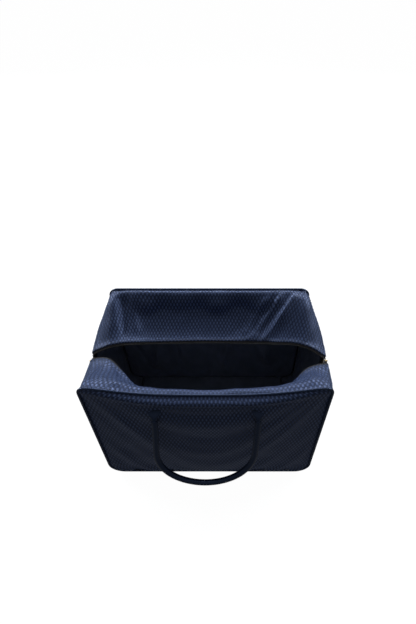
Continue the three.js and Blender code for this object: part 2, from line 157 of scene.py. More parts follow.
def round_angles(count):
    return np.linspace(0, 2 * math.pi, count, endpoint=False)


def settled(x, y, z):
    """The open mouth lets the upper edge of the front panel sag and lean in between its corners."""
    across = np.clip(1 - np.abs(x / SAG_HALF_WIDTH) ** 3, 0, 1) ** 1.2
    sag = np.where(y < 0, across * smooth(z, SAG_FOOT, HEIGHT), 0)
    return stack(x, y + FRONT_LEAN * sag, z - FRONT_SAG * sag)


def bulge_at(z):
    return SIDE_BULGE * smooth(z, 0, BULGE_HEIGHT)


def squareness(side):
    """How square the top corners are: 2 is a round arc, and more is squarer."""
    return FRONT_SQUARENESS if side < 0 else REAR_SQUARENESS


def corner_point(fraction, radius, side):
    """How far in and up a top corner's curve has come, from 0 at its foot to 1 where it meets the top."""
    angle = np.clip(fraction, 0, 1) * math.pi / 2
    power = 2 / squareness(side)
    inwards = radius * (1 - np.clip(np.cos(angle), 0, 1) ** power)
    return inwards, radius * np.sin(angle) ** power


def half_width_at(z, inset, side):
    """Half the width of the rounded panel outline at one height, drawn in from the piping line."""
    low = RIM_LOW + inset
    high = RIM_HIGH - inset
    low_radius = BOTTOM_CORNER - low
    high_radius = TOP_CORNER - PIPING_RADIUS - inset
    into_low = np.clip(low + low_radius - z, 0, low_radius)
    into_high = np.clip(z - high + high_radius, 0, high_radius)
    low_cut = low_radius - np.sqrt(low_radius**2 - into_low**2)
    power = squareness(side)
    high_cut = high_radius - np.clip(high_radius**power - into_high**power, 0, None) ** (1 / power)
    return RIM_X - inset - low_cut - high_cut


def panel_face(side, inset, face, crown=0.0, roll_out=0.0):
    """The front (side -1) or rear (side 1) panel. v runs up it. crown is how far its middle stands out, and
    roll_out how far its slack upper edge rolls over below the piping."""
    def surface(u, v):
        z = lerp(RIM_LOW + inset, RIM_HIGH - inset, v)
        half = half_width_at(z, inset, side)
        x = (2 * u - 1) * half
        edge = np.minimum(half - np.abs(x), np.minimum(z - RIM_LOW, RIM_HIGH - z))
        roll = 1 - np.exp(-np.clip(edge, 0, None) / (7 * MM))
        swell = roll * crown * (0.55 + 0.45 * np.sin(math.pi * v) * np.cos(math.pi * (u - 0.5)))
        swell -= SEAM_DIP * np.exp(-np.clip(edge - 1.2 * MM, 0, None) / (2.6 * MM))
        slack = roll_out * np.clip(1.15 - (x / SAG_HALF_WIDTH) ** 2, 0.1, 1)
        below = RIM_HIGH - z
        rolled = 1 - np.clip((below - 2 * MM) / (8 * MM), 0, 1)
        swell += slack * (1 - rolled**3) ** (1 / 3) * (1 - 0.9 * smooth(below, 9 * MM, 23 * MM))
        point = settled(x, side * face, z)
        point[..., 1] += side * swell
        return point
    return surface


def side_face(side, half_depth):
    """One side, from its seam with the base, round the bottom corner and up to the zip's end."""
    arc = math.pi / 2 * BOTTOM_CORNER
    length = arc + ZIP_END - BOTTOM_CORNER
    def surface(u, v):
        angle = np.minimum(v * length / BOTTOM_CORNER, math.pi / 2)
        z = BOTTOM_CORNER * (1 - np.cos(angle)) + np.clip(v * length - arc, 0, None)
        y = lerp(-half_depth, half_depth, u)
        bulge = bulge_at(z) * (1 - (y / RIM_Y) ** 2)
        return stack(side * (FLAT_HALF + BOTTOM_CORNER * np.sin(angle) + bulge), y, z)
    return surface


def base_face(half_length, half_depth, height):
    def surface(u, v):
        return stack(lerp(-half_length, half_length, u), lerp(-half_depth, half_depth, v), height)
    return surface


def curve_through(points, t):
    """A uniform Catmull-Rom curve through points, at t from 0 to 1."""
    points = np.asarray(points, float)
    first = 2 * points[0] - points[1]
    last = 2 * points[-1] - points[-2]
    padded = np.vstack([first, points, last])
    position = np.clip(t, 0, 1) * (len(points) - 1)
    index = np.minimum(position.astype(int), len(points) - 2)
    w = (position - index)[..., None]
    p0, p1, p2, p3 = (padded[index + k] for k in range(4))
    slope1 = (p2 - p0) / 2
    slope2 = (p3 - p1) / 2
    cubic = 2 * p1 - 2 * p2 + slope1 + slope2
    square = -3 * p1 + 3 * p2 - 2 * slope1 - slope2
    return ((cubic * w + square) * w + slope1) * w + p1


def upper_rim(distance, side):
    """The upper rim, by distance from the zip's left end over the top to its right end."""
    radius = TOP_CORNER - PIPING_RADIUS
    left = np.minimum(distance, 2 * RIM_HALF - distance)
    mirror = np.where(distance > RIM_HALF, -1, 1)
    inwards, up = corner_point((left - RIM_RISE) / RIM_ARC, radius, side)
    x = -RIM_X + inwards + np.clip(left - RIM_RISE - RIM_ARC, 0, None)
    z = ZIP_END + np.minimum(left, RIM_RISE) + up
    return settled(mirror * x, side * RIM_Y, z)


def side_station(height, side, parting=0, drawn_in=0):
    """A station on the bag's side, where both zip panels meet, in millimetres."""
    bulge = bulge_at(height * MM) / MM
    return (
        height - ZIP_END / MM,
        (drawn_in - HALF_WIDTH / MM - bulge, side * (COIL_SPACING / MM + parting), height),
        (-2 / 3 * bulge, -side * 44, 0),
        (0, side * 44, 0),
    )


def side_stations(side):
    notch = NOTCH / MM
    return [
        side_station(ZIP_END / MM, side),
        side_station(notch, side),
        side_station(notch + 12, side, 2.6, 1),
    ]


# Stations of each zip panel from its left end to its middle, in millimetres: distance along the rim, point on
# the zip line, and the vectors by which the curve across leaves the rim and arrives at the zip line. They are
# the CAD's, but the rear panel's shoulders are fuller.
FRONT_STATIONS = side_stations(-1) + [
    (64, (-238, -9, 252), (-24, 44, 3), (-8, -42, 6)),
    (98, (-202, -17, 262), (-13, 44, 6), (-10, -38, 14)),
    (136, (-171, -41, 253), (-5, 44, 7), (-6, -30, 24)),
    (178, (-146, -66, 228), (-1, 42, 12), (0, -18, 38)),
    (230, (-105, -88, 204), (0, 38, 14), (0, -7, 44)),
    (RIM_HALF / MM, (0, -98, 190), (0, 34, 15), (0, -2, 48)),
]
REAR_STATIONS = side_stations(1) + [
    (64, (-240, 1, 252), (-24, -44, 12), (-9, 44, 12)),
    (98, (-207, 6, 266), (-10, -44, 20), (-6, 44, 20)),
    (136, (-174, 12, 269), (-3, -44, 13), (-2, 46, 17)),
    (178, (-139, 18, 265), (0, -46, 7), (0, 50, 14)),
    (230, (-105, 23, 261), (0, -48, 3), (0, 52, 16)),
    (RIM_HALF / MM, (0, 27, 259), (0, -50, 1), (0, 54, 17)),
]


# How far the right half of the zip line lies from the left half's mirror image, by station, in millimetres
FRONT_RIGHT_DROOP = [(0, 0, 0), (0, 0, 0), (2, -2, -3), (6, -5, -8), (8, -10, -13), (14, -5, -4),
                     (14, -2, -2), (7, 0, 0), (0, 0, 0)]
REAR_RIGHT_DROOP = [(0, 0, 0), (0, 0, 0), (1, -2, -3), (4, -6, -7), (3, -2, -2), (2, 0, 0)] + [(0, 0, 0)] * 3


class ZipPanel:
    """A zip panel from the rim (across 0) to the zip line (across 1), and from left (along 0) to right."""

    def __init__(self, name, stations, side, droop):
        self.name = name
        self.side = side
        rims = [[station[0] * MM] for station in stations]
        middle = rims[-1][0]
        self.distances = rims + [[2 * middle - rim[0]] for rim in rims[-2::-1]]
        self.edges = self.mirrored([station[1] for station in stations])
        self.edges[len(stations) - 1:] += np.array(droop[::-1], float) * MM
        self.leaves = self.mirrored([station[2] for station in stations])
        self.arrives = self.mirrored([station[3] for station in stations])
        self.drape = None

    @staticmethod
    def mirrored(vectors):
        left = np.array(vectors, float) * MM
        return np.vstack([left, left[-2::-1] * [-1, 1, 1]])

    def point(self, along, across):
        """A point of the panel, with the folds of its settled cloth once that is known."""
        along, across = np.broadcast_arrays(along, across)
        plain = self.plain_point(along, across)
        if self.drape is None:
            return plain
        return plain + self.drape.at(along, across / self.before(along, TAPE_SHOWN))

    def plain_point(self, along, across):
        start = upper_rim(curve_through(self.distances, along)[..., 0], self.side)
        end = curve_through(self.edges, along)
        first = start + curve_through(self.leaves, along)
        second = end + curve_through(self.arrives, along)
        t = across[..., None]
        s = 1 - t
        return s**3 * start + 3 * s * s * t * first + 3 * s * t * t * second + t**3 * end

    def before(self, along, distance):
        """The row at a distance short of the zip line."""
        ends = (self.plain_point(along, np.full_like(along, row)) for row in (0.95, 1.0))
        span = np.linalg.norm(next(ends) - next(ends), axis=-1)
        return 1 - 0.05 * distance / span

    def row_before(self, distance):
        """The same row, as a function of the position along it."""
        return lambda along: self.before(along, distance)

    def row_after(self, distance):
        """The row at a distance past the rim, as a function of the position along it."""
        def row(along):
            span = np.linalg.norm(self.point(along, 0.05) - self.point(along, 0.0), axis=-1)
            return 0.05 * distance / span
        return row

    def normal(self, along, across):
        step = 0.002
        du = self.point(along + step, across) - self.point(along - step, across)
        dv = self.point(along, across + step) - self.point(along, across - step)
        return unit(np.cross(du, dv) * -self.side)

    def turning(self, along, across):
        """How far a point follows the flap: 0 by the sides and on the rim, 1 in the middle past the fold."""
        reach = np.abs(curve_through(self.edges, along)[..., 0])
        if self.side < 0:
            lengthwise = 1 - smooth(reach, 118 * MM, 232 * MM)
            low = lerp(0.02, 0.22, lengthwise)
            high = lerp(0.80, 0.32, lengthwise)
        else:
            lengthwise = 1 - smooth(reach, 125 * MM, 236 * MM)
            low = 0.0
            high = lerp(0.55, 0.06, lengthwise)
        return lengthwise * smooth(across, low, high)


FRONT_ZIP = ZipPanel("front", FRONT_STATIONS, -1, FRONT_RIGHT_DROOP)
REAR_ZIP = ZipPanel("rear", REAR_STATIONS, 1, REAR_RIGHT_DROOP)


# ================ mesh building
def add_object(name, data):
    item = bpy.data.objects.new(name, data)
    bpy.context.scene.collection.objects.link(item)
    return item


def new_mesh(name, points, faces, coords=None):
    """An object from points and faces, with smooth shading. coords are where each point lies on its cloth."""
    mesh = bpy.data.meshes.new(name)
    mesh.from_pydata(np.reshape(points, (-1, 3)).tolist(), [], faces)
    mesh.polygons.foreach_set("use_smooth", [True] * len(mesh.polygons))
    attribute = mesh.attributes.new("cloth", "FLOAT_VECTOR", "POINT")
    if coords is not None:
        attribute.data.foreach_set("vector", np.ascontiguousarray(coords, np.float32).ravel())
    mesh.validate()
    return add_object(name, mesh)


def grid_faces(rows, columns, flipped, closed=False):
    faces = []
    for i in range(rows - 1):
        for j in range(columns if closed else columns - 1):
            k = (j + 1) % columns
            quad = (i * columns + j, (i + 1) * columns + j, (i + 1) * columns + k, i * columns + k)
            faces.append(quad[::-1] if flipped else quad)
    return faces


def end_caps(rings, sides):
    return [tuple(range(sides))[::-1], tuple(range((rings - 1) * sides, rings * sides))]


def lengths_along(points, axis):
    """Distance travelled along one axis of a grid of points."""
    steps = np.linalg.norm(np.diff(points, axis=axis), axis=-1)
    pad = np.zeros_like(np.take(steps, [0], axis=axis))
    return np.cumsum(np.concatenate([pad, steps], axis=axis), axis=axis)


def grid_normals(points, outward):
    du = np.gradient(points, axis=0)
    dv = np.gradient(points, axis=1)
    normal = np.cross(du, dv) * outward
    return normal / np.maximum(np.linalg.norm(normal, axis=-1, keepdims=True), 1e-12)


def ripple(points, size, seed):
    """A smooth, repeatable wave field between about -1 and 1, for small creases."""
    rng = np.random.default_rng(seed)
    total = np.zeros(points.shape[:-1])
    for _ in range(7):
        direction = rng.normal(size=3)
        direction /= np.linalg.norm(direction)
        wave = 2 * math.pi / (size * rng.uniform(0.7, 1.5))
        total += np.sin(points @ direction * wave + rng.uniform(0, 2 * math.pi))
    return total / 3.5


def tent(distance, width, tip=1.5 * MM):
    """1 on a crease and falling off to both sides of it, with a slightly rounded tip."""
    return np.exp(-(np.sqrt(distance**2 + tip**2) - tip) / width)


def creases_on(points, v, creases):
    """Tent-shaped folds across a sheet, each given in millimetres by its x at the sheet's start and end, its
    height, its width, and the fractions across the sheet between which it runs."""
    lift = np.zeros(v.shape)
    for x_start, x_end, height, width, first, last in creases:
        line = lerp(x_start, x_end, v) * MM
        window = smooth(v, first, first + 0.15) * (1 - smooth(v, last - 0.2, last))
        lift += height * MM * tent(points[..., 0] - line, width * MM) * window
    return lift


def cloth_sheet(name, surface, us, vs, outward, thickness=SKIN, inset=0.0, waves=0.0, wave_size=0.06,
                seed=1, folds=None):
    """A sheet over a grid of the surface's u and v, thickened inwards from its outer face. waves and folds
    lift it along its own normal. Returns it with its grid and each point's lift."""
    u, v = np.meshgrid(us, vs, indexing="ij")
    points = surface(u, v)
    normals = grid_normals(points, outward)
    edge = np.minimum(np.minimum(u - us[0], us[-1] - u) / (us[-1] - us[0]),
                      np.minimum(v - vs[0], vs[-1] - v) / (vs[-1] - vs[0]))
    lift = waves * ripple(points, wave_size, seed) * smooth(edge, 0, 0.12)
    if folds is not None:
        lift = lift + folds(points, v) * smooth(edge, 0, 0.05)
    points = points + normals * (lift - inset)[..., None]
    rippled = normals * lift[..., None]
    coords = stack(lengths_along(points, 0)[:, [len(vs) // 2]], lengths_along(points, 1), 0.0)
    piece = new_mesh(name, points, grid_faces(len(us), len(vs), outward < 0), coords)
    solidify = piece.modifiers.new("thickness", "SOLIDIFY")
    solidify.thickness = thickness
    solidify.offset = -1
    return piece, u, v, rippled


def evenly(start, end, spacing, length):
    """Numbers from start to end, about one for each spacing along the length they cover."""
    return np.linspace(start, end, max(2, int(round(length / spacing)) + 1))


def tube_mesh(name, path, sections, closed=False):
    """A closed tube: one ring of points for each point of the path. sections is rings x sides x 3."""
    rings, sides = sections.shape[:2]
    faces = grid_faces(rings, sides, False, closed=True)
    if closed:
        last = (rings - 1) * sides
        faces += [(last + j, j, (j + 1) % sides, last + (j + 1) % sides) for j in range(sides)]
    else:
        faces += end_caps(rings, sides)
    around = np.linspace(0, 1, sides, endpoint=False)
    along = lengths_along(path[:, None], 0)
    coords = stack(along, around[None, :] * 0.04, 0.0)
    return new_mesh(name, sections, faces, coords)


def path_frames(path, reference, closed=False):
    """Unit side and normal along a path. The normal stays as near to the reference as it can."""
    if closed:
        tangent = unit(np.roll(path, -1, axis=0) - np.roll(path, 1, axis=0))
    else:
        tangent = unit(np.gradient(path, axis=0))
    reference = np.broadcast_to(reference, path.shape)
    normal = unit(reference - tangent * np.sum(reference * tangent, axis=1, keepdims=True))
    return np.cross(tangent, normal), normal


def resampled(path, spacing):
    """Points at an even spacing along a closed path."""
    path = np.vstack([path, path[:1]])
    travelled = lengths_along(path, 0)
    count = max(2, int(round(travelled[-1] / spacing)) + 1)
    wanted = np.linspace(0, travelled[-1], count)
    return np.stack([np.interp(wanted, travelled, path[:, k]) for k in range(3)], axis=1)[:-1]


def stitch_points(centres, tangents, normals):
    """Small rounded bars, one for each centre, lying along the tangents and dipping into the cloth."""
    laterals = np.cross(tangents, normals)
    rings = []
    for shift, width, lift in ((-0.5, 0.35, -0.9), (-0.3, 1.0, 0.3), (0.3, 1.0, 0.3), (0.5, 0.35, -0.9)):
        middle = centres + tangents * shift * STITCH_LENGTH + normals * lift * STITCH_RADIUS
        ring = [middle + (laterals * math.cos(a) + normals * math.sin(a)) * STITCH_RADIUS * width
                for a in round_angles(6)]
        rings.append(np.stack(ring, axis=1))
    return np.stack(rings, axis=1)


def stitch_row(name, centres, tangents, normals):
    """One row of stitches as a single mesh."""
    points = stitch_points(centres, tangents, normals)
    count, rings, sides = points.shape[:3]
    one = grid_faces(rings, sides, False, closed=True) + end_caps(rings, sides)
    faces = []
    for offset in range(0, count * rings * sides, rings * sides):
        faces += [tuple(index + offset for index in face) for face in one]
    return new_mesh(name, points, faces)


# ================ cloth simulation
def positions(mesh):
    points = np.empty(len(mesh.vertices) * 3)
    mesh.vertices.foreach_get("co", points)
    return points.reshape(-1, 3)


def settle(piece, held, growth, reach):
    """Lets a sheet buckle and sag between its sewn edges, then keeps that shape, at most reach away and above
    the floor. Returns how far each point moved."""
    mesh = piece.data
    start = positions(mesh)
    group = piece.vertex_groups.new(name="held")
    for index, weight in enumerate(held):
        group.add([index], float(weight), "REPLACE")
    piece.modifiers["thickness"].show_viewport = False
    cloth = piece.modifiers.new("settling", "CLOTH")
    cloth.settings.quality = 6
    cloth.settings.mass = CLOTH_MASS
    cloth.settings.air_damping = 2
    for kind in ("tension", "compression", "shear"):
        setattr(cloth.settings, f"{kind}_stiffness", CLOTH_STIFFNESS)
    cloth.settings.bending_stiffness = CLOTH_BENDING
    cloth.settings.vertex_group_mass = "held"
    cloth.settings.pin_stiffness = 1.0
    cloth.settings.shrink_min = -growth
    cloth.settings.effector_weights.gravity = CLOTH_GRAVITY
    cloth.collision_settings.use_collision = False
    cloth.collision_settings.use_self_collision = False
    cloth.point_cache.frame_start = 1
    cloth.point_cache.frame_end = CLOTH_FRAMES
    for number in range(1, CLOTH_FRAMES + 1):
        bpy.context.scene.frame_set(number)
    moved = positions(piece.evaluated_get(bpy.context.evaluated_depsgraph_get()).data)
    piece.modifiers.remove(cloth)
    bpy.context.scene.frame_set(1)
    piece.modifiers["thickness"].show_viewport = True
    shift = moved - start
    distance = np.linalg.norm(shift, axis=1, keepdims=True)
    share = reach * np.tanh(distance / reach) / np.maximum(distance, 1e-9)
    capped = shift * np.where(distance > 1e-9, share, 0)
    capped[:, 2] = np.maximum(capped[:, 2], -start[:, 2])
    mesh.vertices.foreach_set("co", (start + capped).ravel())
    mesh.update()
    piece.vertex_groups.remove(group)
    return capped


class Drape:
    """How far a settled sheet has moved from its first shape, for the layers that lie under it."""

    def __init__(self, us, vs, moved):
        self.us = np.asarray(us)
        self.vs = np.asarray(vs)
        self.moved = moved.reshape(len(us), len(vs), 3)

    def at(self, u, v):
        u, v = np.broadcast_arrays(u, v)
        i = np.clip(np.searchsorted(self.us, u) - 1, 0, len(self.us) - 2)
        j = np.clip(np.searchsorted(self.vs, v) - 1, 0, len(self.vs) - 2)
        a = np.clip((u - self.us[i]) / (self.us[i + 1] - self.us[i]), 0, 1)[..., None]
        b = np.clip((v - self.vs[j]) / (self.vs[j + 1] - self.vs[j]), 0, 1)[..., None]
        low = lerp(self.moved[i, j], self.moved[i + 1, j], a)
        high = lerp(self.moved[i, j + 1], self.moved[i + 1, j + 1], a)
        return lerp(low, high, b)

    def over(self, surface):
        """The same surface after the cloth on it has settled."""
        return lambda u, v: surface(u, v) + self.at(u, v)


# ================ materials
def range_node(tree, low, high, start, end):
    """A node that turns low..high into start..end with a smooth step."""
    node = tree.nodes.new("ShaderNodeMapRange")
    node.interpolation_type = "SMOOTHSTEP"
    for socket, number in zip(("From Min", "From Max", "To Min", "To Max"), (low, high, start, end)):
        node.inputs[socket].default_value = number
    return node


class Shader:
    """Builds a node material around one Principled shader."""

    def __init__(self, name, **sockets):
        self.material = bpy.data.materials.new(name)
        self.material.use_nodes = True
        self.tree = self.material.node_tree
        self.tree.nodes.clear()
        self.bsdf = self.tree.nodes.new("ShaderNodeBsdfPrincipled")
        output = self.tree.nodes.new("ShaderNodeOutputMaterial")
        self.tree.links.new(self.bsdf.outputs[0], output.inputs["Surface"])
        for socket, value in sockets.items():
            self.bsdf.inputs[socket.replace("_", " ")].default_value = value

    def plug(self, socket, value):
        if isinstance(value, bpy.types.NodeSocket):
            self.tree.links.new(value, socket)
        else:
            socket.default_value = value

    def math(self, operation, a, b=0.0):
        node = self.tree.nodes.new("ShaderNodeMath")
        node.operation = operation
        self.plug(node.inputs[0], a)
        self.plug(node.inputs[1], b)
        return node.outputs[0]

    def wave(self, coordinate, period):
        """A cosine of a coordinate, from -1 to 1."""
        return self.math("COSINE", self.math("MULTIPLY", coordinate, 2 * math.pi / period))

    def ramp(self, value, low, high, start=0.0, end=1.0):
        node = range_node(self.tree, low, high, start, end)
        self.plug(node.inputs["Value"], value)
        return node.outputs["Result"]

    def mix(self, factor, a, b):
        node = self.tree.nodes.new("ShaderNodeMix")
        node.data_type = "RGBA"
        for socket, value in (("Factor", factor), ("A", a), ("B", b)):
            self.plug(node.inputs[socket], value)
        return node.outputs["Result"]

    def cloth_coords(self):
        """Where a point lies on its cloth, in metres: along it, and across it."""
        node = self.tree.nodes.new("ShaderNodeAttribute")
        node.attribute_name = "cloth"
        return node.outputs["Vector"]

    def object_coords(self):
        return self.tree.nodes.new("ShaderNodeTexCoord").outputs["Object"]

    def split(self, vector):
        node = self.tree.nodes.new("ShaderNodeSeparateXYZ")
        self.plug(node.inputs[0], vector)
        return node.outputs["X"], node.outputs["Y"]

    def noise(self, vector, scale, detail=3.0):
        node = self.tree.nodes.new("ShaderNodeTexNoise")
        self.plug(node.inputs["Vector"], vector)
        node.inputs["Scale"].default_value = scale
        node.inputs["Detail"].default_value = detail
        return node.outputs["Fac"]

    def cells(self, vector, scale):
        node = self.tree.nodes.new("ShaderNodeTexVoronoi")
        self.plug(node.inputs["Vector"], vector)
        node.inputs["Scale"].default_value = scale
        return node.outputs["Distance"]

    def bump(self, height, distance, strength=1.0):
        node = self.tree.nodes.new("ShaderNodeBump")
        node.inputs["Distance"].default_value = distance
        node.inputs["Strength"].default_value = strength
        self.plug(node.inputs["Height"], height)
        self.plug(self.bsdf.inputs["Normal"], node.outputs[0])

    def finished(self, colour, roughness, height, distance, strength):
        """Joins the colour, roughness and bump to the shader, and returns its material."""
        self.plug(self.bsdf.inputs["Base Color"], colour)
        self.plug(self.bsdf.inputs["Roughness"], roughness)
        self.bump(height, distance, strength)
        return self.material


def jacquard():
    """The navy cover: rows of satin lozenges, each ribbed by its warp, on a darker ribbed ground."""
    shader = Shader("navy_jacquard", Specular_IOR_Level=0.55, Specular_Tint=(0.40, 0.53, 1.0, 1),
                    Sheen_Weight=0.25, Sheen_Roughness=0.4, Sheen_Tint=(0.38, 0.52, 1.0, 1))
    coords = shader.cloth_coords()
    along, across = shader.split(coords)
    wander = shader.math("MULTIPLY", shader.math("SUBTRACT", shader.noise(coords, 90), 0.5), 2.2 * MM)
    x = shader.math("ADD", along, wander)
    y = shader.math("ADD", across, wander)
    lattice = shader.math("MULTIPLY", shader.wave(x, WEAVE_WIDTH), shader.wave(y, WEAVE_HEIGHT))
    float_mask = shader.ramp(lattice, -0.05, 0.45)
    warp = shader.wave(along, RIB)
    weft = shader.wave(across, RIB)
    rib = shader.math("ADD", shader.math("MULTIPLY", warp, float_mask),
                      shader.math("MULTIPLY", weft, shader.math("SUBTRACT", 1.0, float_mask)))
    worn = shader.noise(coords, 14)
    ground = shader.mix(worn, (0.0085, 0.0115, 0.024, 1), (0.014, 0.019, 0.037, 1))
    satin = shader.mix(worn, (0.064, 0.090, 0.180, 1), (0.086, 0.120, 0.232, 1))
    colour = shader.mix(float_mask, ground, satin)
    shaded = shader.mix(shader.ramp(rib, -1.0, 1.0, 0.0, 0.45), colour, ground)
    smoothness = shader.ramp(float_mask, 0.0, 1.0, 0.43, 0.24)
    roughness = shader.math("ADD", smoothness, shader.math("MULTIPLY", worn, 0.08))
    height = shader.math("ADD", float_mask, shader.math("MULTIPLY", rib, 0.25))
    return shader.finished(shaded, roughness, height, 0.35 * MM, 0.42)


def lining_cloth():
    """Blue-grey lining, dark in the bag's shade, with a fine twill line and a faint gloss."""
    shader = Shader("black_lining", Specular_IOR_Level=0.35, Sheen_Weight=0.1, Sheen_Roughness=0.4)
    coords = shader.cloth_coords()
    along, across = shader.split(coords)
    twill = shader.wave(shader.math("ADD", along, across), 1.3 * MM)
    colour = shader.mix(shader.noise(coords, 22), (0.095, 0.110, 0.155, 1), (0.190, 0.215, 0.290, 1))
    return shader.finished(colour, shader.ramp(twill, -1, 1, 0.46, 0.58), twill, 0.12 * MM, 0.6)


def leather(name, gloss, low_roughness, high_roughness):
    """Smooth navy-black leather with pebbled grain, duller in its creases."""
    shader = Shader(name, Specular_IOR_Level=gloss, Specular_Tint=(0.42, 0.56, 1.0, 1))
    coords = shader.cloth_coords()
    grain = shader.cells(coords, 700)
    crease = shader.noise(coords, 160, 5)
    worn = shader.noise(coords, 30)
    colour = shader.mix(worn, (0.004, 0.0075, 0.018, 1), (0.009, 0.015, 0.032, 1))
    roughness = shader.ramp(crease, 0.3, 0.7, low_roughness, high_roughness)
    height = shader.math("ADD", shader.math("MULTIPLY", grain, 0.7), crease)
    return shader.finished(colour, roughness, height, 0.25 * MM, 0.6)


def zip_cloth():
    """Woven zip tape: a close black rib across its width."""
    shader = Shader("zip_tape", Specular_IOR_Level=0.3, Sheen_Weight=0.2, Sheen_Roughness=0.5)
    coords = shader.cloth_coords()
    along, across = shader.split(coords)
    rib = shader.math("MULTIPLY", shader.wave(along, 1.0 * MM), shader.wave(across, 2.0 * MM))
    colour = shader.mix(shader.noise(coords, 60), (0.009, 0.009, 0.011, 1), (0.020, 0.018, 0.018, 1))
    return shader.finished(colour, shader.ramp(rib, -1, 1, 0.8, 0.6), rib, 0.2 * MM, 0.8)


def zip_nylon():
    """The taupe nylon of the zip's coils."""
    shader = Shader("zip_nylon", Specular_IOR_Level=0.6)
    tint = shader.noise(shader.object_coords(), 200)
    colour = shader.mix(tint, (0.040, 0.034, 0.029, 1), (0.075, 0.064, 0.052, 1))
    return shader.finished(colour, shader.ramp(tint, 0.3, 0.7, 0.28, 0.42), tint, 0.05 * MM, 0.4)


def thread():
    """Waxed navy thread with a twist."""
    shader = Shader("navy_thread", Specular_IOR_Level=0.6, Sheen_Weight=0.4, Sheen_Roughness=0.4)
    twist = shader.noise(shader.object_coords(), 1500, 1)
    colour = shader.mix(twist, (0.034, 0.046, 0.086, 1), (0.088, 0.110, 0.175, 1))
    return shader.finished(colour, shader.ramp(twist, 0.3, 0.7, 0.4, 0.6), twist, 0.1 * MM, 0.5)


def brass():
    """Polished brass with fine scratches and duller hollows."""
    shader = Shader("brass", Metallic=1.0)
    coords = shader.object_coords()
    scratch = shader.noise(coords, 900, 6)
    patina = shader.noise(coords, 120)
    colour = shader.mix(patina, (0.62, 0.42, 0.17, 1), (0.86, 0.64, 0.31, 1))
    return shader.finished(colour, shader.ramp(scratch, 0.3, 0.7, 0.18, 0.38), scratch, 0.02 * MM, 0.4)


def fibreboard():
    """The grey board that stiffens the base."""
    shader = Shader("fibreboard", Specular_IOR_Level=0.3)
    fibre = shader.noise(shader.object_coords(), 250, 8)
    colour = shader.mix(fibre, (0.02, 0.02, 0.02, 1), (0.05, 0.048, 0.045, 1))
    return shader.finished(colour, shader.ramp(fibre, 0.3, 0.7, 0.8, 0.95), fibre, 0.2 * MM, 0.6)


def floor_paint():
    """The pale studio sweep, bright enough to read as white."""
    shader = Shader("pale_floor", Base_Color=(0.12, 0.12, 0.12, 1), Roughness=0.9, Specular_IOR_Level=0.0,
                    Emission_Color=(1, 1, 1, 1), Emission_Strength=0.97)
    return shader.material


JACQUARD = jacquard()
LINING_CLOTH = lining_cloth()
LEATHER = leather("navy_leather", 0.8, 0.22, 0.34)
PIPING_LEATHER = leather("piping_leather", 1.0, 0.14, 0.24)
ZIP_CLOTH = zip_cloth()
ZIP_NYLON = zip_nylon()
THREAD = thread()
BRASS = brass()
FIBREBOARD = fibreboard()


def dress(piece, material):
    piece.data.materials.clear()
    piece.data.materials.append(material)


def finish(piece, material):
    dress(piece, material)


def on_shell(piece, material):
    finish(piece, material)
    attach(piece, "shell")


def sheet_on_shell(piece, material, node):
    on_shell(piece, material)
    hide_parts(node)


# ================ panels, sides and base
def seam_weights(us_count, vs_count, top=1):
    """1 on the edge of a grid and on its last rows, 0 inside it."""
    held = np.zeros((us_count, vs_count))
    held[0] = held[-1] = 1
    held[:, 0] = 1
    held[:, -top:] = 1
    return held.ravel()


# Folds of the slack cloth: x at the base, x at the top, height, width, and where each starts and ends
PANEL_FOLDS = [(-60, -200, 3, 28, 0.05, 0.85), (-215, -90, -2.5, 18, 0.0, 0.5),
               (210, 120, 2.5, 30, 0.05, 0.8)]
LINING_FOLDS = [(-150, -118, -12, 12, 0.1, 0.8), (-60, -96, -10, 16, 0.2, 0.8), (20, 64, -12, 11, 0.1, 0.8),
                (170, 64, -13, 12, 0.1, 0.8), (128, 150, -9, 9, 0.2, 0.8)]


def make_panel(name, side):
    flat = (2 * RIM_X, RIM_HIGH - RIM_LOW)
    us = evenly(0, 1, CLOTH_STEP, flat[0])
    eased = (1 - np.cos(math.pi * evenly(0, 1, CLOTH_STEP, flat[1]))) / 2
    roll_out = FRONT_ROLL if side < 0 else REAR_ROLL
    face = panel_face(side, 1.2 * MM, RIM_Y + SKIN / 2, PANEL_CROWN, roll_out)
    cloth, _, _, rippled = cloth_sheet(f"{name}_panel_cloth", face, us, eased, -side, waves=0.9 * MM,
                                       seed=3 + side, folds=partial(creases_on, creases=PANEL_FOLDS))
    moved = settle(cloth, seam_weights(len(us), len(eased), PANEL_ROWS_HELD), SEAM_GROWTH, 4 * MM)
    drape = Drape(us, eased, rippled + moved.reshape(rippled.shape))
    sheet_on_shell(cloth, JACQUARD, f"{name}_panel")

    back = panel_face(side, 4 * MM, RIM_Y - SKIN / 2 - 0.6 * MM, LINING_CROWN, 0.3 * roll_out)
    lining = cloth_sheet(f"{name}_panel_lining_cloth", drape.over(back), us, eased, -side, LINING,
                         inset=3.5 * MM, waves=0.7 * MM, wave_size=80 * MM, seed=8 + side,
                         folds=partial(creases_on, creases=LINING_FOLDS))[0]
    sheet_on_shell(lining, LINING_CLOTH, f"{name}_lining")


